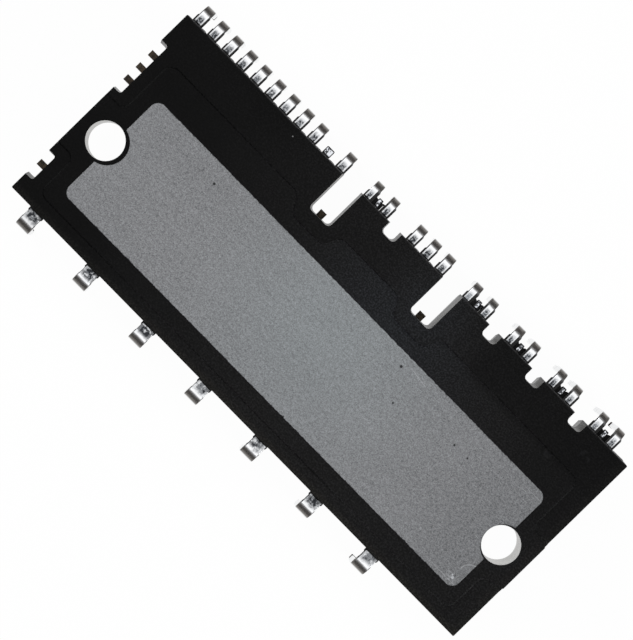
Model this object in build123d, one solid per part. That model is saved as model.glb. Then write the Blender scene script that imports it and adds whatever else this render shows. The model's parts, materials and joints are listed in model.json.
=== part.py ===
"""Intelligent power module in a large moulded dual-in-line package.

The module stands on its lead tips. The heat spreader is flush in the top face (+Z), the control
leads leave the +Y side and the power leads leave the -Y side. The origin is on the floor, under the
middle of the moulded body. All sizes are in millimetres.
"""

from build123d import *
from math import cos, radians, tan
import os

os.makedirs("parts", exist_ok=True)

# Moulded body. Its walls lean in from a parting plane at mid height, where the leads come out.
body_length = 78.5
body_width = 30.75
body_height = 8.0
body_corner_radius = 0.15
draft_inset = 0.24

# Lead frame
lead_thickness = 0.65
lead_tip_drop = 9.5
lead_bend_radius = 1.3
lead_splay_degrees = 1.8
tip_chamfer = 0.2

# Screw holes, with a seat for the screw head in the hidden face
hole_spacing = 70.0
hole_diameter = 5.0
hole_edge_chamfer = 0.05
hole_y = -2.93
screw_seat_depth = 3.0
screw_seat_radius = 4.4

# Heat spreader and the insulating sheet under it
spreader_length = 68.9
spreader_width = 16.55
spreader_thickness = 1.0
spreader_corner_radius = 1.25
spreader_edge_chamfer = 0.05
spreader_shift_x = 0.3
spreader_hole_margin = 0.28
sheet_thickness = 0.2

# Raised plateau of the top face, round the heat spreader and the holes
plateau_rise = 0.2
plateau_slope_degrees = 45.0
plateau_corner_radius = 1.2
plateau_margin_ends = 1.6
plateau_margin_control = 4.1
plateau_margin_power = 1.95
plateau_hole_margin = 1.6
plateau_slot_margin = 2.2
plateau_dip_overhang = 0.9
plateau_dip_run = 1.25

# Control leads, on one grid. Some places of the grid hold a slot or a notch of the body instead.
control_pitch = 2.54
control_first_x = -37.83
control_width = 1.24
control_nib_width = 0.13
control_short_nib = 0.9
control_long_nib = 1.55
control_overhang = 2.66
control_tip_width = 0.62
control_tip_length = 4.2
pair_spacing = 2.8
pair_places = [12, 19, 22, 25, 28]
control_regions = [
    [0, 1, 2, 3, 4, 5, 6, 7, 8, 10],
    [12, 15, 16, 17],
    [19, 22],
    [25, 28],
]
cut_single_place = 9
cut_single_width = 1.2
cut_pair_width = 0.67
cut_lead_reach = 1.1
cut_lead_bury = 1.9
web_reach = 0.92

# Slots and notches of the control side
slot_places = [11, 18]
slot_width = 3.57
slot_depth = 6.16
notch_places = [14, 21, 24, 27]
notch_width = 2.25
notch_depth = 1.8
slot_grid_offset = -0.04
slot_corner_radius = 0.6
slot_bar_width = 1.0
slot_bar_reach = 0.88
slot_bar_bury = 2.3

# Pockets of the left end, with the tie bars that were cut off flush with the end
pocket_depth = 1.4
pocket_corner_radius = 0.35
end_bar_width = 0.86
end_bar_bury = 1.1
upper_pocket_y = 6.55
upper_pocket_width = 8.3
upper_pocket_bars = 3
end_bar_pitch = 2.14
lower_pocket_y = -10.7
lower_pocket_width = 4.1
lower_pocket_bars = 1

# Small moulded features
gate_pad_width = 7.9
gate_pad_rise = 0.1
ejector_mark_radius = 1.5
ejector_mark_depth = 0.12
ejector_mark_inset_x = 13.0
ejector_mark_inset_y = 7.0

# Power leads
power_pitch = 10.0
power_first_x = -34.98
power_width = 2.02
power_neck_width = 1.86
power_neck_length = 1.5
power_nib_width = 0.18
power_nib_reach = 0.4
power_overhang = 2.81
power_tip_width = 1.2
power_tip_length = 4.2
power_tab_width = 3.0
power_tab_bury = 1.9
power_slope_run = 2.2

# Copper islands against the insulating sheet, and the bond pads at the level of the lead frame
island_margin = 0.6
island_gap = 0.8
island_end_inset = 2.6
positive_bar_width = 4.8
output_island_length = 17.0
bond_pad_before = 1.0
bond_pad_after = 4.5
bond_pad_width = 1.8

# Chips, solder and wires
solder_thickness = 0.1
chip_thickness = 0.35
switch_length = 5.0
switch_width = 4.2
diode_length = 3.8
diode_width = 3.2
first_chip_inset = 4.6
second_chip_inset = 10.4
driver_thickness = 0.3
driver_length = 4.6
low_driver_length = 6.4
driver_width = 1.7
driver_pad_margin = 0.6
finger_width = 0.7
finger_pitch = 1.3
finger_root_bury = 2.15
finger_run = 2.9
finger_gap = 1.0
power_wire_radius = 0.15
signal_wire_radius = 0.03
power_wire_pitch = 1.0
signal_wire_pitch = 0.5
power_wire_sag = 1.0
signal_wire_sag = 0.35
power_wire_bend = 0.6
signal_wire_bend = 0.2
wire_edge_inset = 0.45
pad_wire_inset = 0.7
link_wire_inset = 0.8

# Levels
parting_z = lead_tip_drop
top_z = parting_z + body_height / 2
bottom_z = parting_z - body_height / 2
rim_z = top_z - plateau_rise
lead_top_z = parting_z + lead_thickness / 2
lead_bottom_z = parting_z - lead_thickness / 2
spreader_bottom_z = top_z - spreader_thickness
island_top_z = spreader_bottom_z - sheet_thickness
island_bottom_z = island_top_z - lead_thickness
chip_top_z = island_bottom_z - solder_thickness
chip_bottom_z = chip_top_z - chip_thickness
driver_bottom_z = lead_bottom_z - driver_thickness

# Places that several pieces share
body_half_length = body_length / 2
body_half_width = body_width / 2
hole_radius = hole_diameter / 2
cut_through = body_height + lead_tip_drop
spreader_high_y = hole_y + spreader_width / 2
spreader_low_y = hole_y - spreader_width / 2
slot_floor_y = body_half_width - slot_depth
outside = body_length
finger_root_y = body_half_width - finger_root_bury
finger_end_y = finger_root_y - finger_run
driver_y = finger_end_y - finger_gap - driver_pad_margin - driver_width / 2


def grid_x(place):
    """X of a place on the control lead grid."""
    return control_first_x + control_pitch * place


def slot_x(place):
    """X of a slot or notch, which sits a little off the lead grid."""
    return grid_x(place) + slot_grid_offset


def box_between(low, high):
    """An upright block between two opposite corners."""
    size = [h - l for l, h in zip(low, high)]
    middle = [(h + l) / 2 for l, h in zip(low, high)]
    return Pos(*middle) * Box(*size)


def prism(points, low_z, high_z):
    """An upright prism over an outline given as points in X and Y."""
    outline = make_face(Polyline(*points, close=True))
    return extrude(Plane.XY.offset(low_z) * outline, amount=high_z - low_z)


def drafted_half(length, width, radius, inset, face_z):
    """A rounded block from the parting plane to a face, narrower at the face by the inset."""
    parting = Plane.XY.offset(parting_z) * RectangleRounded(length, width, radius)
    face_outline = RectangleRounded(length - 2 * inset, width - 2 * inset, radius)
    return loft([parting, Plane.XY.offset(face_z) * face_outline])


def drafted_block(length, width, radius, inset):
    """Both halves of a drafted block. A negative inset makes one that opens towards the faces."""
    upper = drafted_half(length, width, radius, inset, top_z)
    lower = drafted_half(length, width, radius, inset, bottom_z)
    return upper + lower


def edge_opening(face_width, depth, radius):
    """A cutter for an opening in a wall: its floor is at depth, and it runs out past the wall.

    It lies with the wall along X at the origin and cuts towards -Y. The sizes given are those at
    the top and bottom faces, and the opening is narrower at the parting plane by the draft.
    """
    run_out = depth + body_height
    width = face_width - 2 * draft_inset
    cutter = drafted_block(width, depth + run_out - draft_inset, radius, -draft_inset)
    return Pos(0, (run_out - depth + draft_inset) / 2, 0) * cutter


# Body outline with its plateau

def plateau_outline():
    """The raised area of the top face, with a tongue to each end and a dip round each slot."""
    half_length = spreader_length / 2 + plateau_margin_ends
    high_y = spreader_high_y + plateau_margin_control
    low_y = spreader_low_y - plateau_margin_power
    tongue = hole_radius + plateau_hole_margin
    dip_y = slot_floor_y - plateau_slot_margin
    dip_half = slot_width / 2 + plateau_dip_overhang
    points = [
        (-outside, hole_y - tongue),
        (-half_length, hole_y - tongue),
        (-half_length, low_y),
        (half_length, low_y),
        (half_length, hole_y - tongue),
        (outside, hole_y - tongue),
        (outside, hole_y + tongue),
        (half_length, hole_y + tongue),
        (half_length, high_y),
    ]
    for place in reversed(slot_places):
        middle = slot_x(place)
        points += [
            (middle + dip_half + plateau_dip_run, high_y),
            (middle + dip_half, dip_y),
            (middle - dip_half, dip_y),
            (middle - dip_half - plateau_dip_run, high_y),
        ]
    points += [
        (-half_length, high_y),
        (-half_length, hole_y + tongue),
        (-outside, hole_y + tongue),
    ]
    outline = make_face(Polyline(*points, close=True))
    corners = [v for v in outline.vertices() if abs(v.X) < body_half_length]
    return fillet(corners, plateau_corner_radius)


def rim_cutter():
    """What the mould leaves off round the plateau."""
    grow = plateau_rise * tan(radians(plateau_slope_degrees))
    base = offset(plateau_outline(), grow)
    raised = extrude(Plane.XY.offset(rim_z) * base, amount=plateau_rise, taper=plateau_slope_degrees)
    high = (body_length, body_width, top_z + plateau_rise)
    return box_between((-body_length, -body_width, rim_z), high) - raised


def screw_hole(side):
    """The through hole, its broken edge, and the seat that is open to the end of the body."""
    x = side * hole_spacing / 2
    hole = Pos(x, hole_y, parting_z) * Cylinder(hole_radius, cut_through)
    edge = Cone(hole_radius, hole_radius + hole_edge_chamfer, hole_edge_chamfer)
    edge = Pos(x, hole_y, top_z - hole_edge_chamfer / 2) * edge
    seat_top = bottom_z + screw_seat_depth
    seat_height = screw_seat_depth + body_height
    seat = Pos(x, hole_y, seat_top - seat_height / 2) * Cylinder(screw_seat_radius, seat_height)
    run = box_between(
        (min(x, side * outside), hole_y - screw_seat_radius, seat_top - seat_height),
        (max(x, side * outside), hole_y + screw_seat_radius, seat_top),
    )
    return [hole, edge, seat, run]


def body_openings():
    """Slots, notches and end pockets, all drafted like the walls."""
    cutters = []
    slots = (slot_places, slot_width, slot_depth)
    notches = (notch_places, notch_width, notch_depth)
    for places, width, depth in (slots, notches):
        for place in places:
            cutter = edge_opening(width, depth, slot_corner_radius)
            cutters.append(Pos(slot_x(place), body_half_width, 0) * cutter)
    upper = (upper_pocket_y, upper_pocket_width)
    lower = (lower_pocket_y, lower_pocket_width)
    for middle, width in (upper, lower):
        cutter = edge_opening(width, pocket_depth, pocket_corner_radius)
        cutters.append(Pos(-body_half_length, middle, 0) * Rot(0, 0, 90) * cutter)
    return cutters


def resin_webs():
    """Resin that filled the gaps between paired leads up to the dam bar."""
    webs = []
    for place in pair_places:
        low = (grid_x(place), finger_root_y, lead_bottom_z)
        high = (grid_x(place) + pair_spacing, body_half_width + web_reach, lead_top_z)
        webs.append(box_between(low, high))
    return webs


def gate_pad():
    """The slightly raised area at the right end where the resin came in."""
    length = body_length + 2 * gate_pad_rise
    upper = drafted_half(length, gate_pad_width, body_corner_radius, draft_inset, top_z)
    keep = box_between((0, -body_width, bottom_z), (body_length, body_width, top_z))
    return (Pos(0, hole_y, 0) * upper) & keep


def ejector_marks():
    """Shallow round marks of the ejector pins in the hidden face."""
    marks = []
    for side_x in (-1, 1):
        for side_y in (-1, 1):
            x = side_x * (body_half_length - ejector_mark_inset_x)
            y = side_y * (body_half_width - ejector_mark_inset_y)
            marks.append(Pos(x, y, bottom_z) * Cylinder(ejector_mark_radius, 2 * ejector_mark_depth))
    return marks


def plain_body():
    """The moulding before the room for the embedded pieces is taken out of it."""
    body = drafted_block(body_length, body_width, body_corner_radius, draft_inset)
    body = body + gate_pad()
    body = body - rim_cutter()
    body = body - body_openings()
    body = body - screw_hole(-1) - screw_hole(1)
    body = body - ejector_marks()
    return body + resin_webs()


# Heat spreader and insulating sheet

def spreader_outline():
    """A rounded rectangle, shifted a little in the mould and notched round both screw holes."""
    outline = Pos(spreader_shift_x, hole_y) * RectangleRounded(
        spreader_length, spreader_width, spreader_corner_radius
    )
    for side in (-1, 1):
        notch = Circle(hole_radius + spreader_hole_margin)
        outline = outline - Pos(side * hole_spacing / 2 + spreader_shift_x, hole_y) * notch
    return outline


def plate(low_z, high_z):
    """A plate with the outline of the heat spreader between two levels."""
    return extrude(Plane.XY.offset(low_z) * spreader_outline(), amount=high_z - low_z)


# Leads

def bent_strip(root_y, overhang, width, tip_width, tip_length):
    """A strip that runs out of the body along +Y, bends down and ends in a narrower tip.

    The side view gives the bend and the splay, and the front view gives the widths.
    """
    outer_y = body_half_width + overhang
    spread = parting_z * tan(radians(lead_splay_degrees))
    thickness = lead_thickness / cos(radians(lead_splay_degrees))
    side_points = [
        (root_y, lead_top_z),
        (outer_y, lead_top_z),
        (outer_y + spread, 0),
        (outer_y + spread - thickness, 0),
        (outer_y - thickness, lead_bottom_z),
        (root_y, lead_bottom_z),
    ]
    side_view = make_face(Polyline(*side_points, close=True))
    outer_corner = side_view.vertices().sort_by_distance((outer_y, lead_top_z, 0))[0]
    side_view = fillet(outer_corner, lead_bend_radius)
    inner_corner = side_view.vertices().sort_by_distance((outer_y - thickness, lead_bottom_z, 0))[0]
    side_view = fillet(inner_corner, lead_bend_radius - lead_thickness)
    strip = extrude(Plane.YZ * side_view, amount=width / 2, both=True)
    half = width / 2
    tip_half = tip_width / 2
    shoulder = tip_length + half - tip_half
    front_points = [
        (-half, parting_z + lead_thickness),
        (half, parting_z + lead_thickness),
        (half, shoulder),
        (tip_half, tip_length),
        (tip_half, tip_chamfer),
        (tip_half - tip_chamfer, 0),
        (tip_chamfer - tip_half, 0),
        (-tip_half, tip_chamfer),
        (-tip_half, tip_length),
        (-half, shoulder),
    ]
    front_view = make_face(Polyline(*front_points, close=True))
    return strip & extrude(Plane.XZ * front_view, amount=-body_width)


def lead_plate(points):
    """A flat part of the lead frame at the level where the leads leave the body."""
    return prism(points, lead_bottom_z, lead_top_z)


def control_lead(x, finger_x, carries_pad, driver_x, pad_length):
    """One control lead with its dam bar nibs and its finger. One in each region has the chip pad."""
    strip = Pos(x, 0, 0) * bent_strip(
        finger_root_y, control_overhang, control_width, control_tip_width, control_tip_length
    )
    half = control_width / 2
    wide = half + control_nib_width
    short_y = body_half_width + control_short_nib
    long_y = body_half_width + control_long_nib
    nibs = lead_plate([
        (x - wide, finger_root_y),
        (x + wide, finger_root_y),
        (x + wide, long_y),
        (x + half, long_y + control_nib_width),
        (x - half, short_y + control_nib_width),
        (x - wide, short_y),
    ])
    tip = finger_width / 2
    finger = lead_plate([
        (x - tip, finger_root_y),
        (x + tip, finger_root_y),
        (finger_x + tip, finger_end_y),
        (finger_x - tip, finger_end_y),
    ])
    lead = strip + nibs + finger
    if carries_pad:
        pad_half = pad_length / 2
        pad_high = driver_y + driver_width / 2 + driver_pad_margin
        pad_low = driver_y - driver_width / 2 - driver_pad_margin
        neck_high = (finger_x + tip, finger_end_y, lead_top_z)
        neck = box_between((finger_x - tip, pad_low, lead_bottom_z), neck_high)
        pad_corner = (driver_x + pad_half, pad_high, lead_top_z)
        pad = box_between((driver_x - pad_half, pad_low, lead_bottom_z), pad_corner)
        lead = lead + neck + pad
    return lead


def region_leads(places):
    """X of each lead of a region: one for each place, and a second one where the place is a pair."""
    found = []
    for place in places:
        found.append(grid_x(place))
        if place in pair_places:
            found.append(grid_x(place) + pair_spacing)
    return found


def cut_lead(x, width):
    """A lead that was cut short near the body."""
    low = (x - width / 2, body_half_width - cut_lead_bury, lead_bottom_z)
    high = (x + width / 2, body_half_width + cut_lead_reach, lead_top_z)
    return box_between(low, high)


def power_strip(x):
    """The outer part of a power lead, with its neck and dam bar nibs. It leaves the -Y side."""
    root_y = body_half_width + power_neck_length
    strip = bent_strip(root_y, power_overhang, power_width, power_tip_width, power_tip_length)
    neck_half = power_neck_width / 2
    neck = lead_plate([
        (-neck_half, body_half_width - power_tab_bury),
        (neck_half, body_half_width - power_tab_bury),
        (neck_half, root_y),
        (-neck_half, root_y),
    ])
    nib_half = power_width / 2 + power_nib_width / 2
    nib_y = body_half_width + power_nib_reach
    nibs = lead_plate([
        (-nib_half, body_half_width - power_tab_bury),
        (nib_half, body_half_width - power_tab_bury),
        (nib_half, nib_y),
        (neck_half, nib_y + power_nib_width),
        (-neck_half, nib_y + power_nib_width),
        (-nib_half, nib_y),
    ])
    return Pos(x, 0, 0) * Rot(0, 0, 180) * (strip + neck + nibs)


def bond_pad(x):
    """A pad at lead frame level beside a negative lead, for the wires of its low side switch."""
    high_y = -body_half_width + power_tab_bury + bond_pad_width
    low = (x - bond_pad_before, -body_half_width + power_tab_bury, lead_bottom_z)
    return box_between(low, (x + bond_pad_after, high_y, lead_top_z))


def island_slope(x, island_edge_y):
    """The set of the lead from the lead frame level up to the island against the sheet."""
    foot_y = -body_half_width + power_tab_bury
    half = power_tab_width / 2
    tab = box_between((x - half, foot_y - lead_thickness, lead_bottom_z), (x + half, foot_y, lead_top_z))
    head_y = foot_y + power_slope_run
    side_points = [
        (foot_y, lead_bottom_z),
        (foot_y, lead_top_z),
        (head_y, island_top_z),
        (head_y, island_bottom_z),
    ]
    side_view = make_face(Polyline(*side_points, close=True))
    slope = Pos(x, 0, 0) * extrude(Plane.YZ * side_view, amount=half, both=True)
    if head_y < island_edge_y:
        bridge_high = (x + half, island_edge_y, island_top_z)
        slope = slope + box_between((x - half, head_y, island_bottom_z), bridge_high)
    return tab + slope


def island(low_x, high_x, low_y, high_y):
    """A copper island against the insulating sheet."""
    return box_between((low_x, low_y, island_bottom_z), (high_x, high_y, island_top_z))


# Wires

def bond_wire(start, end, sag, bend, radius):
    """A wire that drops from one bond, runs across below the lower of the two and rises again."""
    low_z = min(start[2], end[2]) - sag
    corners = [start, (start[0], start[1], low_z), (end[0], end[1], low_z), end]
    path = FilletPolyline(*corners, radius=bend)
    return sweep(Plane(origin=start, z_dir=(0, 0, -1)) * Circle(radius), path=path)


def chip(x, y, length, width):
    """A chip under an island."""
    low = (x - length / 2, y - width / 2, chip_bottom_z)
    return box_between(low, (x + length / 2, y + width / 2, chip_top_z))


def solder(x, y, length, width):
    """The solder between a chip and its island."""
    low = (x - length / 2, y - width / 2, chip_top_z)
    return box_between(low, (x + length / 2, y + width / 2, island_bottom_z))


# The embedded pieces, by node name

nodes = {}
plain_plate = plate(spreader_bottom_z, top_z)
top_edges = plain_plate.faces().sort_by(Axis.Z)[-1].edges()
nodes["heat_spreader"] = chamfer(top_edges, spreader_edge_chamfer)
nodes["insulating_sheet"] = plate(island_top_z, spreader_bottom_z)

# Islands: one long positive bar with a leg at the right, and an output island for each phase
island_low_x = -spreader_length / 2 + island_end_inset
island_high_x = -island_low_x
bar_high_y = spreader_high_y - island_margin
bar_low_y = bar_high_y - positive_bar_width
output_high_y = bar_low_y - island_gap
output_low_y = spreader_low_y + island_margin
phase_pitch = output_island_length + island_gap
phases = ["w", "v", "u"]

for number, phase in enumerate(phases):
    start_x = island_low_x + phase_pitch * number
    negative_x = power_first_x + 2 * power_pitch * number
    output_x = negative_x + power_pitch
    nodes[f"power_lead_negative_{phase}"] = power_strip(negative_x) + bond_pad(negative_x)
    output_lead = power_strip(output_x) + island_slope(output_x, output_low_y)
    output = island(start_x, start_x + output_island_length, output_low_y, output_high_y)
    nodes[f"power_lead_output_{phase}"] = output_lead + output

positive_x = power_first_x + 2 * power_pitch * len(phases)
leg_low_x = island_low_x + phase_pitch * len(phases)
positive_bar = island(island_low_x, island_high_x, bar_low_y, bar_high_y)
positive_leg = island(leg_low_x, island_high_x, output_low_y, bar_low_y)
positive = power_strip(positive_x) + island_slope(positive_x, output_low_y)
nodes["power_lead_positive"] = positive + positive_bar + positive_leg

# Control leads, counted from the left end, and the driver chip of each region
lead_number = 0
region_middles = []
finger_tips = []
for region, places in enumerate(control_regions):
    lead_xs = region_leads(places)
    middle = (lead_xs[0] + lead_xs[-1]) / 2
    chip_length = low_driver_length if region == 0 else driver_length
    pad_length = chip_length + 2 * driver_pad_margin
    first_finger = middle - finger_pitch * (len(lead_xs) - 1) / 2
    carrier = len(lead_xs) // 2
    tips = []
    for index, x in enumerate(lead_xs):
        lead_number += 1
        finger_x = first_finger + finger_pitch * index
        lead = control_lead(x, finger_x, index == carrier, middle, pad_length)
        nodes[f"control_lead_{lead_number:02d}"] = lead
        if index != carrier:
            tips.append(finger_x)
    name = "low_side_driver" if region == 0 else f"high_side_driver_{region}"
    half = chip_length / 2
    nodes[name] = box_between(
        (middle - half, driver_y - driver_width / 2, driver_bottom_z),
        (middle + half, driver_y + driver_width / 2, lead_bottom_z),
    )
    region_middles.append(middle)
    finger_tips.append(tips)

# Leads and tie bars that were cut off
cut_leads = [cut_lead(grid_x(cut_single_place), cut_single_width)]
for place in pair_places:
    cut_leads.append(cut_lead(grid_x(place) + pair_spacing / 2, cut_pair_width))
nodes["cut_leads"] = Compound(cut_leads)

slot_bars = []
for place in slot_places:
    x = slot_x(place)
    floor_y = slot_floor_y + draft_inset
    low = (x - slot_bar_width / 2, floor_y - slot_bar_bury, lead_bottom_z)
    slot_bars.append(box_between(low, (x + slot_bar_width / 2, floor_y + slot_bar_reach, lead_top_z)))
nodes["slot_tie_bars"] = Compound(slot_bars)

end_bars = []
end_bar_tip = -body_half_length + pocket_depth + end_bar_bury
for middle, count in ((upper_pocket_y, upper_pocket_bars), (lower_pocket_y, lower_pocket_bars)):
    for index in range(count):
        y = middle + end_bar_pitch * (index - (count - 1) / 2)
        low = (-body_half_length, y - end_bar_width / 2, lead_bottom_z)
        end_bars.append(box_between(low, (end_bar_tip, y + end_bar_width / 2, lead_top_z)))
nodes["end_tie_bars"] = Compound(end_bars)

# Chips: the low side pair sits on the output island, the high side pair on the positive bar
chips = {}
solders = []
output_middle_y = (output_low_y + output_high_y) / 2
bar_middle_y = (bar_low_y + bar_high_y) / 2
for number, phase in enumerate(phases):
    start_x = island_low_x + phase_pitch * number
    spots = {
        f"low_switch_{phase}": (start_x + first_chip_inset, output_middle_y, switch_length, switch_width),
        f"low_diode_{phase}": (start_x + second_chip_inset, output_middle_y, diode_length, diode_width),
        f"high_diode_{phase}": (start_x + first_chip_inset, bar_middle_y, diode_length, diode_width),
        f"high_switch_{phase}": (start_x + second_chip_inset, bar_middle_y, switch_length, switch_width),
    }
    for name, spot in spots.items():
        chips[name] = chip(*spot)
        solders.append(solder(*spot))
nodes.update(chips)
nodes["chip_solder"] = Compound(solders)

# Aluminium wires carry the current from the chips to the islands and the bond pads
power_wires = []
pad_middle_y = -body_half_width + power_tab_bury + bond_pad_width / 2
output_bond_y = output_high_y - wire_edge_inset
pad_wire_y = output_middle_y - switch_width / 2 + pad_wire_inset
for number in range(len(phases)):
    start_x = island_low_x + phase_pitch * number
    first_x = start_x + first_chip_inset
    second_x = start_x + second_chip_inset
    pad_x = power_first_x + 2 * power_pitch * number + (bond_pad_after - bond_pad_before) / 2
    link_x = first_x + switch_length / 2 - link_wire_inset
    for step in (-1, 0, 1):
        shift = step * power_wire_pitch
        near_x = first_x + shift
        far_x = second_x + shift
        link_y = output_middle_y + power_wire_pitch / 2 + shift / 2
        bonds = [
            ((near_x, bar_middle_y, chip_bottom_z), (near_x, output_bond_y, island_bottom_z)),
            ((far_x, bar_middle_y, chip_bottom_z), (far_x, output_bond_y, island_bottom_z)),
            ((near_x, pad_wire_y, chip_bottom_z), (pad_x + shift, pad_middle_y, lead_bottom_z)),
            ((link_x, link_y, chip_bottom_z), (second_x, link_y, chip_bottom_z)),
        ]
        for start, end in bonds:
            power_wires.append(bond_wire(start, end, power_wire_sag, power_wire_bend, power_wire_radius))

# Fine wires join each driver chip to its fingers, and the high side drivers to their switches
signal_wires = []


def signal_wire(start, end):
    """One fine wire."""
    return bond_wire(start, end, signal_wire_sag, signal_wire_bend, signal_wire_radius)


for middle, tips in zip(region_middles, finger_tips):
    for index, tip_x in enumerate(tips):
        bond_x = middle + signal_wire_pitch * (index - (len(tips) - 1) / 2)
        start = (bond_x, driver_y + driver_width / 2 - wire_edge_inset, driver_bottom_z)
        signal_wires.append(signal_wire(start, (tip_x, finger_end_y + wire_edge_inset, lead_bottom_z)))
driver_bond_y = driver_y - driver_width / 2 + wire_edge_inset
gate_y = bar_middle_y + switch_width / 2 - wire_edge_inset
for number in range(len(phases)):
    switch_x = island_low_x + phase_pitch * number + second_chip_inset
    for step in (-1, 1):
        shift = step * signal_wire_pitch
        start = (region_middles[number] + shift, driver_bond_y, driver_bottom_z)
        signal_wires.append(signal_wire(start, (switch_x + shift, gate_y, chip_bottom_z)))

nodes["power_wires"] = Compound(power_wires)
nodes["signal_wires"] = Compound(signal_wires)

# The moulding fills all the room round the embedded pieces
nodes["mould_body"] = plain_body() - plain_plate - list(nodes.values())

for name, shape in nodes.items():
    export_step(shape, f"parts/{name}.step")
print(len(nodes), "nodes written")
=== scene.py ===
# %% [markdown]
# # A power module, dressed for its photograph
#
# The object is a flat black moulding of epoxy with a grey metal heat spreader in its upper face.
# Two rows of tinned leads come out of the long sides and bend down to a circuit board. The solids
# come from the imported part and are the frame. This file gives them their finishes, forms the leads
# again with the rounded edges of stamped metal, and adds the small marks that moulding leaves.

# %% Load the part
import json
import math

import bpy
import numpy as np
from mathutils import Matrix, Vector


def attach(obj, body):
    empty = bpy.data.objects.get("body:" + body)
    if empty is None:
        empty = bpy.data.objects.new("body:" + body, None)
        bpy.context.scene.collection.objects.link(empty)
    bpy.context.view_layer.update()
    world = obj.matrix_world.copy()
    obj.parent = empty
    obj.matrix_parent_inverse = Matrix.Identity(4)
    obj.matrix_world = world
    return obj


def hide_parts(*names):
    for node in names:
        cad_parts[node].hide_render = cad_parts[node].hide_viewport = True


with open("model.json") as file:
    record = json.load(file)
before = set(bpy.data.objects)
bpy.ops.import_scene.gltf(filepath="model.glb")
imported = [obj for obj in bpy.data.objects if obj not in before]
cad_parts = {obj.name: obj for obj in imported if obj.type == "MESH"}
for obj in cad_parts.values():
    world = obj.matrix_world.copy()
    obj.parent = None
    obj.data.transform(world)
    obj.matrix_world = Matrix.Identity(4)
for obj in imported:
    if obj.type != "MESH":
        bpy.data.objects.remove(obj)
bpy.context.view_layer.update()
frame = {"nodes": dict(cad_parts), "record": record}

# %% [markdown]
# ## Sizes
#
# The script works in millimetres, as the maker of the part does, and every mesh is turned into
# metres when it is stored. The numbers below are the part's own sizes, repeated here because the
# finishes and the new pieces have to meet the solids exactly. Only the depth of the root is new:
# it says how far each formed lead reaches into the body.

# %% Sizes that the pieces share
MM = 0.001
body_half_length = 39.25
body_half_width = 15.375
top_z = 13.5
parting_z = 9.5
lead_thickness = 0.65
lead_bend_radius = 1.3
lead_splay = math.radians(1.8)
lead_root_depth = 1.2
lead_tip_length = 4.2
hole_y = -2.93
hole_x = 35.0
hole_radius = 2.5
spreader_half_width = 8.275
control_pitch = 2.54
control_first_x = -37.83
pair_spacing = 2.8
pair_places = [12, 19, 22, 25, 28]
single_places = [0, 1, 2, 3, 4, 5, 6, 7, 8, 10, 15, 16, 17]
cut_place = 9
slot_places = [11, 18]
notch_places = [14, 21, 24, 27]
power_pitch = 10.0
power_first_x = -34.98


def grid_x(place):
    """X of a place on the control lead grid, in mm."""
    return control_first_x + control_pitch * place


print("control row runs from", grid_x(0), "to", grid_x(28) + pair_spacing, "mm")

# %% [markdown]
# ## Putting arrays into meshes
#
# A surface here is a grid of points: rows run along it and columns run round it. Neighbouring grid
# points become quads, so no face is written by hand. The last column joins the first one and each
# end gets a cap, which keeps the tube closed.

# %% Mesh helpers
def grid_quads(rows, columns):
    """Quads between neighbours (i, j), (i+1, j), (i+1, j+1), (i, j+1), where j wraps."""
    i, j = np.meshgrid(np.arange(rows - 1), np.arange(columns), indexing="ij")
    here, next_row, after = i * columns, (i + 1) * columns, (j + 1) % columns
    return np.stack([here + j, next_row + j, next_row + after, here + after], -1).reshape(-1, 4)


def store_mesh(name, points, faces, marks=None):
    """Make an object from points in mm, a list of faces, and values in mm kept at each point."""
    mesh = bpy.data.meshes.new(name)
    mesh.from_pydata((points * MM).tolist(), [], faces)
    for label, values in (marks or {}).items():
        kept = mesh.attributes.new(label, "FLOAT", "POINT")
        kept.data.foreach_set("value", np.asarray(values, np.float32).ravel())
    mesh.polygons.foreach_set("use_smooth", np.ones(len(mesh.polygons), bool))
    mesh.update()
    made = bpy.data.objects.new(name, mesh)
    bpy.context.scene.collection.objects.link(made)
    return made


def close_tube(rings):
    """Faces of a tube over rings of points (rows, columns, 3): quads and one cap at each end."""
    rows, columns, _ = rings.shape
    faces = grid_quads(rows, columns).tolist()
    faces.append(list(range(columns)))
    faces.append(list(range((rows - 1) * columns, rows * columns))[::-1])
    return faces


def join_tubes(tubes):
    """Points and faces of several closed tubes, put one after the other into one mesh."""
    points, faces, count = [], [], 0
    for rings in tubes:
        points.append(rings.reshape(-1, 3))
        faces += [[corner + count for corner in face] for face in close_tube(rings)]
        count += len(points[-1])
    return np.concatenate(points), faces


# %% [markdown]
# ## Writing a finish
#
# A material is a network of nodes. Written one call at a time that network is hard to read, so a
# small class stands for one output socket and lets ordinary arithmetic add the Math nodes. Any
# other node comes from `node`, which takes its kind, its settings and what feeds its inputs.

# %% Shader helpers
class Strand:
    """One output socket. Arithmetic on it adds a Math node to the same material."""

    def __init__(self, finish, socket):
        self.finish = finish
        self.socket = socket

    def maths(self, operation, first, second):
        return self.finish.node("ShaderNodeMath", {"operation": operation}, {0: first, 1: second})

    def __add__(self, other):
        return self.maths("ADD", self, other)

    def __sub__(self, other):
        return self.maths("SUBTRACT", self, other)

    def __mul__(self, other):
        return self.maths("MULTIPLY", self, other)

    def __radd__(self, other):
        return self.maths("ADD", other, self)

    def __rsub__(self, other):
        return self.maths("SUBTRACT", other, self)

    def __rmul__(self, other):
        return self.maths("MULTIPLY", other, self)

    def __abs__(self):
        return self.maths("ABSOLUTE", self, 0.0)

    def larger(self, other):
        """The larger of two values."""
        return self.maths("MAXIMUM", self, other)


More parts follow.
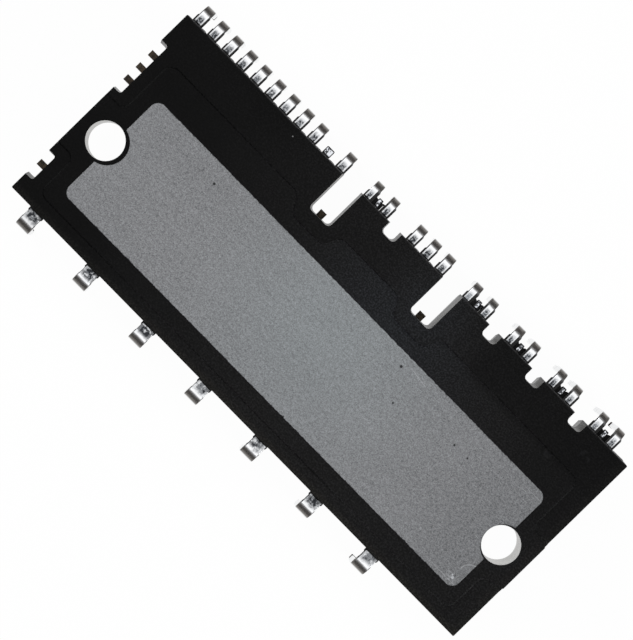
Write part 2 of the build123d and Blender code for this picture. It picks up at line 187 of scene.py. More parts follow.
class Finish:
    """A material that is being written. `where` is the place on the object, in mm."""

    def __init__(self, name):
        self.material = bpy.data.materials.new(name)
        self.material.use_nodes = True
        self.tree = self.material.node_tree
        self.tree.nodes.clear()
        place = self.node("ShaderNodeTexCoord", output="Object")
        self.where = self.shade(place, 1 / MM)
        self.x, self.y, self.z = (
            self.node("ShaderNodeSeparateXYZ", {}, {0: self.where}, axis) for axis in range(3)
        )

    def node(self, kind, settings=None, inputs=None, output=0):
        """Add a node with its settings, feed its inputs and return one of its outputs, if any."""
        made = self.tree.nodes.new(kind)
        for key, value in (settings or {}).items():
            setattr(made, key, value)
        for key, value in (inputs or {}).items():
            if isinstance(value, Strand):
                self.tree.links.new(value.socket, made.inputs[key])
            else:
                made.inputs[key].default_value = value
        return Strand(self, made.outputs[output]) if len(made.outputs) else None

    def mark(self, label):
        """A value that each point of the mesh carries, by its name."""
        return self.node("ShaderNodeAttribute", {"attribute_name": label}, output="Fac")

    def lean(self):
        """One on a level surface that faces up and nought on an upright wall."""
        facing = self.node("ShaderNodeNewGeometry", output="Normal")
        return self.node("ShaderNodeSeparateXYZ", {}, {0: facing}, output=2)

    def ease(self, value, start, end, low=0.0, high=1.0):
        """A smooth change from low to high while the value goes from start to end."""
        settings = {"interpolation_type": "SMOOTHSTEP"}
        if start > end:
            start, end, low, high = end, start, high, low
        inputs = {0: value, 1: start, 2: end, 3: low, 4: high}
        return self.node("ShaderNodeMapRange", settings, inputs)

    def stretch(self, sx, sy, sz, move=(0, 0, 0)):
        """The place on the object with each direction scaled, for grain that runs one way."""
        moved = self.vector("ADD", self.where, move)
        return self.vector("MULTIPLY", moved, (sx, sy, sz))

    def speckle(self, scale, detail=2.0, roughness=0.5, where=None):
        """Noise with about `scale` features per mm."""
        inputs = {"Scale": scale, "Detail": detail, "Roughness": roughness}
        return self.node("ShaderNodeTexNoise", {}, {"Vector": where or self.where, **inputs})

    def mix(self, mask, low, high):
        """A colour that goes from low to high with the mask."""
        low = (*low, 1) if isinstance(low, tuple) else low
        high = (*high, 1) if isinstance(high, tuple) else high
        inputs = {0: mask, 6: low, 7: high}
        return self.node("ShaderNodeMix", {"data_type": "RGBA"}, inputs, output=2)

    def vector(self, operation, first, second, output=0):
        """Vector arithmetic on two places or colours."""
        inputs = {0: first, 1: second}
        return self.node("ShaderNodeVectorMath", {"operation": operation}, inputs, output)

    def shade(self, colour, value):
        """A colour made darker or lighter by a factor, or a place scaled by it."""
        inputs = {0: colour, "Scale": value}
        return self.node("ShaderNodeVectorMath", {"operation": "SCALE"}, inputs)

    def away(self, x, y):
        """How far a place is from a point, seen from above, in mm."""
        flat = self.node("ShaderNodeCombineXYZ", {}, {0: self.x, 1: self.y})
        return self.vector("DISTANCE", flat, (x, y, 0), "Value")

    def disc(self, x, y, radius, soft=0.4):
        """One inside a round spot seen from above, fading out at its edge."""
        return self.ease(self.away(x, y), radius, radius * (1 - soft))

    def bump(self, height, strength, distance, under=None):
        """Turn a height into a tilt of the surface. The distance is in mm."""
        inputs = {"Strength": strength, "Distance": distance * MM, "Height": height}
        if under is not None:
            inputs["Normal"] = under
        return self.node("ShaderNodeBump", {}, inputs)

    def surface(self, **inputs):
        """The main shader, with its inputs by name, joined to the output."""
        named = {key.replace("_", " "): value for key, value in inputs.items()}
        shader = self.node("ShaderNodeBsdfPrincipled", {}, named)
        self.node("ShaderNodeOutputMaterial", {}, {0: shader})
        return self.material


# %% [markdown]
# ## The black epoxy
#
# The moulding is filled epoxy. Its surface is the surface of a spark-eroded mould: a fine matt
# grain of about a fifth of a millimetre, with broad soft patches where the skin is a bit more or
# less glossy. A noise in three sizes gives that, and it has no seams. The colour is nearly black
# all over and changes slowly by place: darker towards the left end and in a few spots on the
# control side, paler and warmer near the edge of the power side and at the right end. A paler,
# bluer patch about the middle is a painted sheen, the slope of the plateau gets a painted
# highlight, and a thin painted highlight runs along the upper edge of the control side. The walls
# left the mould by sliding along polished steel. They are smoother than the faces, and the walls
# of the slots, notches and screw holes, where the light arrives at a low angle, shine a little, so
# they take a share of metal. The walls of the screw holes are also painted pale grey, a painted
# reflection of the white floor.

# %% Black epoxy
def black_epoxy():
    """Filled epoxy. Masks are named for the place where they change the tone, some for painted
    light.
    """
    f = Finish("black_epoxy")
    grain = f.speckle(4.6, 2.0, 0.6)
    patches = f.speckle(0.09, 3.0, 0.55)
    clouds = f.speckle(0.6, 4.0, 0.6)
    tone = f.ease(patches, 0.35, 0.65)
    row_side = f.ease(f.y, -4.0, 6.0) * f.ease(f.x, 24.0, 34.0)
    corner = f.ease(f.y, 8.2, 9.6) * f.ease(f.x, 14.5, 18.5)
    rim = f.ease(f.z, 13.46, 13.36) * f.ease(f.y, 0.0, 4.0) * (1 - f.disc(8.5, 11.0, 11.0, 1.0))
    middle = f.ease(f.x, -32.0, 1.0) * (1 - 0.55 * row_side) * (1 - 0.5 * corner) * (1 - 0.25 * rim)
    # painted sheen: a paler, bluer patch about the middle of the top
    painted_sheen = f.disc(6.0, 6.0, 20.0, 1.0) * (1 - 0.7 * corner) * (1 - rim)
    lip = f.ease(f.y, -14.0, -14.8) + 0.5 * f.ease(f.x, 37.4, 38.6)
    level = 0.0014 + 0.0005 * tone + 0.0052 * middle + 0.0062 * painted_sheen + 0.0026 * lip
    lean = f.lean()
    # painted highlight: the sloped faces of the plateau step are made paler, by an amount that
    # changes along the length, most at the left end
    step = f.ease(lean, 0.97, 0.88) * f.ease(lean, 0.30, 0.45) * f.ease(f.z, 13.2, 13.29)
    slope_highlight_gain = f.ease(f.x, -25.0, 5.0, 1.5, 0.3) + f.ease(f.x, 12.0, 20.0, 0.0, 0.9)
    level = level * (0.55 + 1.95 * f.ease(grain, 0.36, 0.80)) * (1 + step * slope_highlight_gain)
    tint = f.mix(painted_sheen, (1.0, 0.99, 1.01), (0.93, 1.0, 1.13))
    tint = f.mix(lip, tint, (1.06, 1.0, 0.90))
    colour = f.shade(tint, level)
    scuff = f.ease(clouds, 0.52, 0.60) * (f.disc(34.4, 12.1, 1.0) + f.disc(30.9, 9.1, 0.7))
    colour = f.mix(scuff * 0.15, colour, (0.030, 0.030, 0.032))
    colour = f.mix(f.disc(-19.3, 13.95, 0.12), colour, (0.16, 0.16, 0.16))
    wall = f.ease(abs(lean), 0.55, 0.25)
    within = f.ease(abs(f.x), body_half_length - 0.30, body_half_length - 0.45)
    inward = wall * f.ease(abs(f.y), body_half_width - 0.275, body_half_width - 0.425) * within
    colour = f.mix(wall, colour, (0.017, 0.016, 0.015))
    colour = f.mix(inward, colour, (0.028, 0.026, 0.022))
    # painted reflection: the walls of the screw holes are painted pale grey, standing in for the
    # white floor that they reflect
    near_hole = hole_radius + 0.4
    painted_bore_reflection = f.disc(hole_x, hole_y, near_hole, 0.1) + f.disc(-hole_x, hole_y, near_hole, 0.1)
    painted_bore_reflection = wall * painted_bore_reflection
    colour = f.mix(painted_bore_reflection, colour, (0.42, 0.415, 0.40))
    below = inward * f.ease(f.z, parting_z + 0.15, parting_z - 0.15)
    shine = painted_bore_reflection.larger(below)
    # painted highlight: a thin pale line, broken by noise, along the upper edge of the control side
    rim_highlight_and_dark_tip = f.ease(f.y, 14.98, 15.06) * f.ease(f.z, 13.15, 13.27) * f.ease(clouds, 0.35, 0.55)
    colour = f.mix(rim_highlight_and_dark_tip * 0.6, colour, (0.040, 0.040, 0.041))
    roughness = 0.47 + 0.10 * (clouds - 0.5) + 0.16 * (grain - 0.5) - 0.05 * tone - 0.14 * wall
    fine = f.bump(grain, 0.35, 0.012)
    soft = f.bump(clouds, 0.25, 0.03, fine)
    metal = 0.33 * inward + 0.6 * shine
    return f.surface(Base_Color=colour, Metallic=metal, Roughness=roughness, Normal=soft,
                     Specular_IOR_Level=0.06)


mould_finish = black_epoxy()

# %% [markdown]
# ## The heat spreader
#
# The metal plate is nickel plated and lightly blasted, so it is a mid grey with a fine, slightly
# sparkling grain. Painted shading makes it a little lighter and bluer about the middle and darker
# towards both ends. Rolling left faint lines along its length. Handling left a few dark specks and
# pale scratches, each of which is placed where the photograph shows one. Close to its edge the resin
# bled over the metal by a tenth of a millimetre here and there.

# %% Spreader metal
def spreader_metal():
    """Grey metal. strokes are (x, y, half length, slope) and specks (x, y, radius), all in mm."""
    f = Finish("spreader_metal")
    grain = f.speckle(6.5, 2.0, 0.7)
    fleck = f.speckle(2.6, 3.0, 0.6)
    haze = f.speckle(0.07, 2.0, 0.5)
    lines = f.speckle(1.0, 3.0, 0.6, f.stretch(0.12, 5.0, 1.0))
    level = 0.216 + 0.44 * (grain - 0.5) + 0.18 * (fleck - 0.5)
    level = level + 0.05 * (haze - 0.5) + 0.06 * (lines - 0.5)
    # painted shading: lighter and bluer about the middle, darker towards both ends
    centre = f.disc(1.0, 1.0, 24.0, 1.0)
    right_end_shade, left_end_shade = f.ease(f.x, 19.0, 36.0), f.ease(f.x, -14.0, -30.0)
    level = level + 0.030 * centre - 0.040 * right_end_shade - 0.010 * left_end_shade
    colour = f.shade(f.mix(centre, (0.98, 1.0, 1.03), (0.935, 1.0, 1.03)), level)
    long_lines = f.speckle(1.0, 1.0, 0.5, f.stretch(0.05, 11.0, 1.0, (3.0, 1.0, 0.0)))
    near_side = 0.6 * f.ease(abs(f.y - hole_y), 6.0, 8.2) + 0.8 * f.ease(f.x, 29.0, 33.0)
    pale = f.ease(long_lines, 0.66, 0.74) * near_side
    strokes = [(32.07, 3.88, 0.75, 0.0), (32.08, -4.37, 0.62, 0.0), (26.16, -3.90, 0.35, 0.0),
               (12.90, 4.23, 1.60, -0.13)]
    for x, y, reach, slope in strokes:
        run = f.x - x
        along_x = f.ease(abs(run), reach, reach - 0.5)
        pale = pale + along_x * f.ease(abs(f.y - y - slope * run), 0.07, 0.02)
    arc = f.ease(abs(f.away(35.03, -8.53) - 1.49), 0.09, 0.02)
    arc = arc * f.ease(f.x, 34.85, 34.6) * f.ease(f.y, -8.75, -8.5)
    smear = f.disc(33.5, -10.1, 1.2, 0.9) * f.ease(fleck, 0.40, 0.66)
    dot = f.disc(33.65, -10.06, 0.22) + f.disc(33.40, -9.80, 0.14)
    pale = pale + arc + 0.8 * smear
    colour = f.mix(pale * 0.4, colour, (0.45, 0.46, 0.47))
    colour = f.mix(dot * 0.7, colour, (0.56, 0.58, 0.60))
    specks = [(-21.88, 2.94, 0.22), (10.39, 3.69, 0.24), (22.0, 1.6, 0.18), (24.3, 1.6, 0.15),
              (12.9, -0.2, 0.16), (4.6, -11.1, 0.15)]
    dark = sum(f.disc(x, y, radius) for x, y, radius in specks)
    colour = f.mix(dark * 0.95, colour, (0.02, 0.02, 0.02))
    bleed = f.speckle(2.2, 3.0, 0.65)
    ragged = abs(f.y - hole_y) + 0.40 * (bleed - 0.5)
    over_long = f.ease(ragged, spreader_half_width - 0.12, spreader_half_width - 0.02)
    colour = f.mix(over_long * 0.9, colour, (0.012, 0.012, 0.012))
    roughness = 0.50 + 0.14 * (fleck - 0.5) - 0.1 * pale
    tilt = f.bump(lines, 0.12, 0.01, f.bump(grain, 0.35, 0.01))
    return f.surface(Base_Color=colour, Metallic=0.85, Roughness=roughness, Normal=tilt)


spreader_finish = spreader_metal()

# %% [markdown]
# ## Tinned leads
#
# The leads are copper under bright tin. Near the body the tin is mottled where resin bleed was
# blasted off before plating, then comes a clean bright stretch, and the outside of the bend gets a
# painted dark band, painted shade that stands in for the dark reflection there. All of that follows
# the lead, so the pattern reads two values that each point of a lead carries: how far along it is
# from the wall of the body, and how far across it is from the middle. Both are in mm. The sides stay
# dark where resin and the sheared edge of the copper show, and how wide that dark strip is differs
# from lead to lead. A third value is one at the tips of the leads that end the rows, where the
# leads are painted dark brown.

# %% Tinned copper
def tinned_copper(name, bend_start, left_dark, right_dark, soiled, grey, tin,
                  spots=4.4, uneven=0.0):
    """Tin along a lead: mottled at the root, clean, with painted shade on the bend, clean below it.

    left_dark and right_dark say how far from the middle the dark sides begin, in mm. soiled from 0
    to 1 says how dark the sides of the root are, grey how pale its middle is, tin is how much
    light clean tin gives back, and spots is about how many blotches there are in a mm. With uneven
    above 0 the mottled part is longer, the leads at the left end of the body are duller, and those
    at the right end cleaner. A slow change along the row also makes some leads more stained.
    """
    f = Finish(name)
    along, across, rim_highlight_and_dark_tip = f.mark("along"), f.mark("across"), f.mark("rim_highlight_and_dark_tip")
    blotch = f.speckle(spots, 3.0, 0.66)
    fine = f.speckle(5.0, 2.0, 0.6)
    waver = f.speckle(1.1, 2.0, 0.5) - 0.5
    root = f.ease(along + 0.4 * waver - uneven, bend_start + 0.06, bend_start - 0.74)
    wide = (right_dark + left_dark) / 2
    off_middle = abs(across - (right_dark - left_dark) / 2)
    middle = f.ease(off_middle, 0.82 * wide, 0.50 * wide)
    by_lead = f.speckle(0.13, 1.0, 0.5) - 0.5
    mottle = f.ease(blotch + (0.35 + 0.5 * uneven) * by_lead, 0.47, 0.55)
    glint = f.ease(blotch, 0.42, 0.36)
    tones = (0.90, 0.91, 0.92), (1.06, 1.07, 1.08)
    colour = f.mix(fine, *(tuple(part * tin for part in tone) for tone in tones))
    if uneven:
        colour = f.shade(colour, f.ease(f.x, -33.0, -27.0, 1 - uneven, 1.0))
        mottle = mottle * f.ease(f.x, 17.0, 23.0, 1.0, 1 - 2 * uneven)
    dim = root * (1.05 - 0.40 * fine) * f.ease(middle, 0.0, 1.0, 0.3 + 0.5 * soiled, 1.0)
    dim = dim * (1 - 0.6 * glint)
    colour = f.mix(dim, colour, (0.95 * grey, 1.03 * grey, 1.12 * grey))
    stain = root * f.ease(middle, 0.0, 1.0, soiled, 1.0) * (0.15 + 0.85 * mottle)
    colour = f.mix(stain * 0.95, colour, (0.022, 0.024, 0.028))
    # painted shade: a dark band on the outside of the bend stands in for the dark reflection there
    bend = f.ease(along + 0.25 * waver, bend_start + 0.12, bend_start + 0.48)
    painted_bend_shade = bend * f.ease(along, bend_start + 1.40, bend_start + 0.95)
    shank = f.ease(along, bend_start + 0.9, bend_start + 1.5)
    colour = f.mix(painted_bend_shade * 0.90, colour, (0.15, 0.135, 0.12))
    left = f.ease(across, -left_dark, -left_dark - 0.03)
    right = f.ease(across, right_dark, right_dark + 0.03)
    sides = (left + right) * f.ease(along, 1.3, 2.2, 1.0, 0.3) * (1 - shank)
    sealed = f.ease(along + 0.2 * waver, 0.20, 0.08)
    edge = sides.larger(sealed).larger(rim_highlight_and_dark_tip)
    drop = f.ease(along, bend_start + 1.8, bend_start + 3.0)
    colour = f.mix(drop, colour, f.mix(fine, (0.68, 0.69, 0.70), (0.86, 0.87, 0.88)))
    colour = f.mix(edge * 0.96, colour, (0.008, 0.0075, 0.007))
    colour = f.mix(rim_highlight_and_dark_tip, colour, (0.050, 0.038, 0.030))
    roughness = 0.20 + 0.20 * stain + 0.20 * painted_bend_shade + 0.45 * edge
    roughness = roughness + 0.10 * (fine - 0.5) - 0.10 * shank
    tilt = f.bump(fine, 0.25, 0.012, f.bump(blotch * root, 0.6, 0.08))
    return f.surface(Base_Color=colour, Metallic=1 - edge, Roughness=roughness, Normal=tilt,
                     Specular_IOR_Level=0.0)


# %% [markdown]
# ## The shape of a lead
#
# A lead is a strip of stamped sheet. Seen from the side it runs straight out of the body, turns
# down through a round bend and goes on to its tip; seen from above its sides step in where the dam
# bar was cut off. Stamping rounds the edges of the upper face and leaves the lower ones sharper.
# So the lead is one cross-section, a rectangle with rounded corners, carried along the side view,
# while two functions of the path length say how wide it is to the left and to the right.

# %% Lead surface
def section_ring(left, right, thickness, top_radius, low_radius, steps=4):
    """Closed ring of a strip's section for each station: corners are quarter circles of the radii.

    The ring runs round the strip from its upper right corner. Each corner point is the corner's
    centre plus its radius times (cos a, sin a). One more point on each flat face, close to where
    the corner begins, keeps the flat faces flat when shaded.
    """
    a = np.linspace(0, np.pi / 2, steps + 1)
    near = 0.05
    half = thickness / 2
    corners = []
    for turn, (side, up) in enumerate(((1, 1), (-1, 1), (-1, -1), (1, -1))):
        radius = top_radius if up > 0 else low_radius
        angle = a + turn * np.pi / 2
        reach = right if side > 0 else left
        cx = side * (reach - radius)
        cz = up * (half - radius)
        px = cx[:, None] + radius * np.cos(angle)
        pz = cz + radius * np.sin(angle) + 0 * px
        from_flat = turn % 2
        px = np.concatenate([px[:, :1] - side * near * from_flat, px,
                             px[:, -1:] - side * near * (1 - from_flat)], 1)
        pz = np.concatenate([pz[:, :1] - up * near * (1 - from_flat), pz,
                             pz[:, -1:] - up * near * from_flat], 1)
        corners.append(np.stack([px, pz], -1))
    return np.concatenate(corners, 1)


def lead_path(root_y, outer_y, end_z, bend_steps=14, straight_steps=18):
    """Middle line of a lead in the side view, its normal, and its length from the body wall.

    It is a straight run at the parting level, an arc of the bend radius less half the thickness
    that turns through a right angle less the splay, and a straight run down to the end.
    """
    lean = math.atan(math.tan(lead_splay) * parting_z / (parting_z + lead_thickness / 2))
    turn = math.pi / 2 - lean
    tangent = lead_bend_radius * math.tan(turn / 2)
    centre = np.array([outer_y - tangent, parting_z + lead_thickness / 2 - lead_bend_radius])
    middle = lead_bend_radius - lead_thickness / 2
    first = np.linspace(root_y, centre[0], straight_steps)[:-1]
    run = np.stack([first, np.full_like(first, parting_z)], -1)
    a = np.linspace(np.pi / 2, lean, bend_steps)
    arc = centre + middle * np.stack([np.cos(a), np.sin(a)], -1)
    drop = np.linspace(arc[-1, 1], end_z, 26)[1:]
    down = np.stack([arc[-1, 0] + (arc[-1, 1] - drop) * math.tan(lean), drop], -1)
    line = np.concatenate([run, arc, down])
    level, turned = [0.0, 1.0], [math.cos(lean), math.sin(lean)]
    normal = np.concatenate([np.tile(level, (len(run), 1)), np.stack([np.cos(a), np.sin(a)], -1),
                             np.tile(turned, (len(down), 1))])
    steps = np.linalg.norm(np.diff(line, axis=0), axis=1)
    length = np.concatenate([[0.0], np.cumsum(steps)]) + root_y - body_half_width
    return line, normal, length


def form_lead(name, x, side, outer_y, half_widths, tip_half, material, cad_node, rim_highlight_and_dark_tip):
    """Carry the section along the path. `side` is +1 for the control row and -1 for the power row.

    A point is the path's point, plus the ring's height along the path's normal, plus the ring's
    width along X. The widths come from the stations of half_widths by straight interpolation, less
    what the tip is narrower. rim_highlight_and_dark_tip is how long the dark tip is, in mm.
    """
    end_z = lead_thickness / 2 * math.sin(lead_splay) + 0.002
    line, normal, length = lead_path(body_half_width - lead_root_depth, outer_y, end_z)
    total = length[-1]
    tip_start = total - lead_tip_length
    shoulder = half_widths[-1][1] - tip_half
    known, lefts, rights = zip(*half_widths)
    breaks = [v for v in known if length[0] < v < total]
    breaks += [tip_start - shoulder, tip_start, total - rim_highlight_and_dark_tip, total - 0.2, total - 0.1]
    stations = np.unique(np.concatenate([length, breaks, np.array(breaks) + 0.012]))
    stations = stations[stations <= total]
    line, normal = (np.stack([np.interp(stations, length, pair[:, axis]) for axis in (0, 1)], -1)
                    for pair in (line, normal))
    normal /= np.linalg.norm(normal, axis=1)[:, None]
    narrow = np.interp(stations, [tip_start - shoulder, tip_start, total - 0.2, total],
                       [0, shoulder, shoulder, shoulder + 0.15])
    left = np.interp(stations, known, lefts) - narrow
    right = np.interp(stations, known, rights) - narrow
    ring = section_ring(left, right, lead_thickness, 0.11, 0.05)
    across = ring[:, :, 0] if side > 0 else -ring[:, :, 0]
    y = line[:, None, 0] + ring[:, :, 1] * normal[:, None, 0]
    z = line[:, None, 1] + ring[:, :, 1] * normal[:, None, 1]
    points = np.stack([x + across, side * y, z], -1)
    dark_end = np.clip((rim_highlight_and_dark_tip - (total - stations)) / 0.05, 0, 1)
    marks = {"along": np.repeat(stations[:, None], ring.shape[1], 1), "across": across,
             "rim_highlight_and_dark_tip": np.repeat(dark_end[:, None], ring.shape[1], 1)}
    made = store_mesh(name, points.reshape(-1, 3), close_tube(points), marks)
    made.data.materials.append(material)
    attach(made, "root")
    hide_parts(cad_node)


# %% [markdown]
# ## The control leads
#
# Each control lead is about 1.3 mm wide. A dam bar joined them while the resin was pressed in, and
# its cut ends stay as small steps: a short one on the left and a longer one, with a slanted end, on
# the right. There are three kinds: leads that stand alone, and the left and the right lead of a
# close pair. Resin rose between the two of a pair and covers the sides that face each other.

# %% Control leads
control_outer_y = body_half_width + 2.66
control_bend = control_outer_y - body_half_width - lead_bend_radius


def shouldered(wide_left, wide_right, left, right):
    """Half widths along a control lead, as (mm from the wall, to the left, to the right).

    The left step ends at 1.08 mm and the right one at 1.72 mm.
    """
    return [(-2.0, wide_left, wide_right), (0.92, wide_left, wide_right), (1.08, left, wide_right),
            (1.50, left, wide_right), (1.72, left, right), (30.0, left, right)]


single_tin = tinned_copper("tinned_single_lead", control_bend, left_dark=0.54, right_dark=0.51,
                           soiled=0.05, grey=0.14, tin=0.78)
left_tin = tinned_copper("tinned_left_of_pair", control_bend, left_dark=0.55, right_dark=0.24,
                         soiled=0.05, grey=0.27, tin=0.76)
right_tin = tinned_copper("tinned_right_of_pair", control_bend, left_dark=0.36, right_dark=0.49,
                          soiled=0.05, grey=0.24, tin=0.78)
single_widths = shouldered(0.78, 0.78, 0.66, 0.68)
left_widths = shouldered(0.76, 0.72, 0.61, 0.61)
right_widths = shouldered(0.70, 0.80, 0.61, 0.61)
control_tip_half = 0.31
dark_tip_length = 1.6
control_leads = [(grid_x(p), 0.09, single_widths, single_tin) for p in single_places]
control_leads += [(grid_x(p), 0.03, left_widths, left_tin) for p in pair_places]
control_leads += [(grid_x(p) + pair_spacing, 0.01, right_widths, right_tin) for p in pair_places]
control_leads.sort(key=lambda lead: lead[0])
for number, (x, aside, widths, material) in enumerate(control_leads, 1):
    node = f"control_lead_{number:02d}"
    rim_highlight_and_dark_tip = dark_tip_length if number in (1, len(control_leads)) else 0.0
    form_lead(f"tinned_{node}", x + aside, 1, control_outer_y, widths, control_tip_half, material,
              node, rim_highlight_and_dark_tip)
control_xs = [x for x, _, _, _ in control_leads]
print(len(control_leads), "control leads, bend starts", round(control_bend, 2), "mm from the wall")

# %% [markdown]
# ## The power leads
#
# The seven power leads are wider. Each leaves the body through a slightly narrower neck, with two
# tiny nibs of dam bar right at the wall. They carry the name of the phase that they belong to.

# %% Power leads
power_outer_y = body_half_width + 2.81
power_half = 1.06
power_neck = 1.0
power_nib = 1.13
power_tip_half = 0.6
power_aside = 0.09
power_widths = [
    (-2.0, power_nib, power_nib),
    (0.36, power_nib, power_nib),
    (0.52, power_neck, power_neck),
    (1.30, power_neck, power_neck),
    (1.48, power_half, power_half),
    (30.0, power_half, power_half),
]
power_bend = power_outer_y - body_half_width - lead_bend_radius
power_finish = tinned_copper("tinned_power_lead", power_bend, left_dark=0.93, right_dark=0.96,
                             soiled=0.68, grey=0.10, tin=0.84, spots=2.1, uneven=0.18)
power_names = ["negative_w", "output_w", "negative_v", "output_v", "negative_u", "output_u",
               "positive"]
for number, phase in enumerate(power_names):
    x = power_first_x + power_pitch * number + power_aside
    node = f"power_lead_{phase}"
    rim_highlight_and_dark_tip = dark_tip_length if phase in (power_names[0], power_names[-1]) else 0.0
    form_lead(f"tinned_{node}", x, -1, power_outer_y, power_widths, power_tip_half, power_finish,
              node, rim_highlight_and_dark_tip)
print(len(power_names), "power leads")

# %% [markdown]
# ## The cut leads
#
# Six leads of the control row were sheared off just outside the body: one between single leads and
# one in each close pair. A blade leaves a sheared end that is not quite square, with the tin
# dragged over its upper edge. So each is the same rounded section, carried along a short straight
# path, whose last rings lean and shrink a little.

# %% Cut leads
def sheared_tin(name, half, end, soiled):
    """Tin on a strip of a half width and an end in mm, dark along its sides and its cut end."""
    f = Finish(name)
    along, across = f.mark("along"), abs(f.mark("across"))
    blotch = f.speckle(2.6, 2.0, 0.6)
    sides = f.ease(across, half - 0.15, half - 0.09)
    rim = sides.larger(f.ease(along, end - 0.2, end - 0.1)).larger(f.ease(along, 0.25, 0.12))
    stain = f.ease(blotch, 0.56 - soiled, 0.64 - soiled)
    colour = f.mix(stain * 0.92, (0.66, 0.68, 0.71), (0.035, 0.036, 0.04))
    colour = f.mix(rim * 0.96, colour, (0.008, 0.0075, 0.007))
    tilt = f.bump(blotch, 0.6, 0.08)
    roughness = 0.25 + 0.2 * stain + 0.4 * rim
    return f.surface(Base_Color=colour, Metallic=1 - rim, Roughness=roughness, Normal=tilt,
                     Specular_IOR_Level=0.0)


def form_stubs(name, places, reach, material):
    """Straight strips along +Y, joined in one mesh. `places` lists (x, half width) of each.

    A ring is the rounded section at a distance from the wall. The last rings are scaled down and
    each is pushed back where its height is low, by the height times a slope, as a blade leaves it.
    """
    stations = np.array([-lead_root_depth, -0.4, 0.0, 0.3, 0.6,
                         reach - 0.14, reach - 0.06, reach - 0.015, reach])
    shrink = np.array([1, 1, 1, 1, 1, 1, 0.97, 0.92, 0.84])
    tubes, all_along, all_across = [], [], []
    for x, half in places:
        full = np.full(len(stations), half)
        ring = section_ring(full, full, lead_thickness, 0.09, 0.05) * shrink[:, None, None]
        lean = 0.16 * (ring[:, :, 1] - 0.3) * (stations > 0.5)[:, None]
        y = body_half_width + stations[:, None] + lean
        tubes.append(np.stack([x + ring[:, :, 0], y, parting_z + ring[:, :, 1]], -1))
        all_along.append(np.repeat(stations, ring.shape[1]))
        all_across.append(ring[:, :, 0].ravel())
    marks = {"along": np.concatenate(all_along), "across": np.concatenate(all_across)}
    made = store_mesh(name, *join_tubes(tubes), marks)
    made.data.materials.append(material)
    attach(made, "root")
    return made


wide_half, wide_reach = 0.6, 1.12
narrow_half, narrow_reach = 0.335, 1.2
cut_x = grid_x(cut_place) + 0.09
between_pairs = [(grid_x(p) + pair_spacing / 2, narrow_half) for p in pair_places]
wide_tin = sheared_tin("sheared_single", wide_half, wide_reach, 0.04)
narrow_tin = sheared_tin("sheared_pair", narrow_half, narrow_reach, 0.14)
wide_stub = form_stubs("sheared_single_lead", [(cut_x, wide_half)], wide_reach, wide_tin)
narrow_stubs = form_stubs("sheared_pair_leads", between_pairs, narrow_reach, narrow_tin)
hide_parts("cut_leads")
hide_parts("cut_leads")

# %% [markdown]
# ## Tie bars and the big solids
#
# The tie bars that held the lead frame in the mould were cut flush with the walls. They are bare
# copper that has gone brown. They, the moulding and the heat spreader keep the solids of the part.

# %% Tie bars, moulding and spreader
def brown_copper():
    f = Finish("brown_copper")
    lines = f.speckle(1.0, 3.0, 0.6, f.stretch(1.0, 1.0, 14.0))
    stain = f.speckle(2.0, 3.0, 0.6)
    colour = f.mix(f.ease(stain, 0.35, 0.65), (0.010, 0.008, 0.006), (0.060, 0.045, 0.030))
    tilt = f.bump(lines, 0.5, 0.02)
    roughness = 0.55 + 0.2 * (stain - 0.5)
    return f.surface(Base_Color=colour, Metallic=0.7, Roughness=roughness, Normal=tilt)


def dress(node, material):
    """Give a solid of the part its finish, in every material slot that it has."""
    shown = frame["nodes"][node]
    if not shown.data.materials:
        shown.data.materials.append(material)
    for number in range(len(shown.data.materials)):
        shown.data.materials[number] = material


dress("mould_body", mould_finish)
dress("heat_spreader", spreader_finish)
copper = brown_copper()
dress("slot_tie_bars", copper)
dress("end_tie_bars", copper)

# %% [markdown]
# ## Flash along the parting line
#
# Where the two halves of the mould met, a little resin escaped between them and left a thin ragged
# fin. Between the leads of the control side it shows as a thin paler line along the edge. Each
# stretch is a blade-shaped section carried along the wall, and a sum of a few sine waves of
# different lengths makes its reach uneven, fading to nothing at both ends of the stretch.

# %% Parting line flash
def flash_resin():
    f = Finish("flash_resin")
    cloud = f.speckle(2.5, 3.0, 0.6)
    colour = f.mix(f.ease(cloud, 0.3, 0.7), (0.040, 0.038, 0.034), (0.110, 0.105, 0.095))
    tilt = f.bump(cloud, 0.4, 0.02)
    return f.surface(Base_Color=colour, Roughness=0.42 + 0.1 * (cloud - 0.5), Normal=tilt)


def fin(start, end, seed, reach=0.10, thickness=0.05):
    """Rings of a ragged fin from start to end, two points in X and Y at the parting line.

    A ring is a flat rhombus: foot, upper face, tip, lower face. The tip's reach is
    reach * (0.7 + sum of sines) * a ramp that is nearly zero at both ends.
    """
    start, end = np.array(start), np.array(end)
    span = np.linalg.norm(end - start)
    rows = max(6, int(span / 0.12))
    t = np.linspace(0, 1, rows)
    out = np.array([(end - start)[1], -(end - start)[0]]) / span
    drift = 0.11 * (seed % 7)
    waves = sum(0.16 / k * np.sin(span * t * (0.9 * k + drift) + seed * k) for k in (1, 2, 3))
    ramp = np.clip(np.minimum(t, 1 - t) * span / 0.3, 0.02, 1)
    tip = reach * np.clip(0.7 + waves, 0.2, 1.1) * ramp
    foot = -0.12 + 0 * t
    middle = (start + (end - start) * t[:, None])[:, None, :]
    offsets = np.stack([foot, tip * 0.4, tip, tip * 0.4], 1)
    heights = np.stack([0 * t, thickness / 2 * ramp, 0 * t, -thickness / 2 * ramp], 1)
    flat = middle + offsets[:, :, None] * out
    return np.concatenate([flat, (parting_z + heights)[:, :, None]], -1)


def gaps_between(low, high, taken):
    """Free stretches of an edge from low to high, once the (start, end) ranges in taken are out."""
    free = []
    at = low
    for first, last in sorted(taken):
        if first - at > 0.5:
            free.append((at, first))
        at = max(at, last)
    if high - at > 0.5:
        free.append((at, high))
    return free


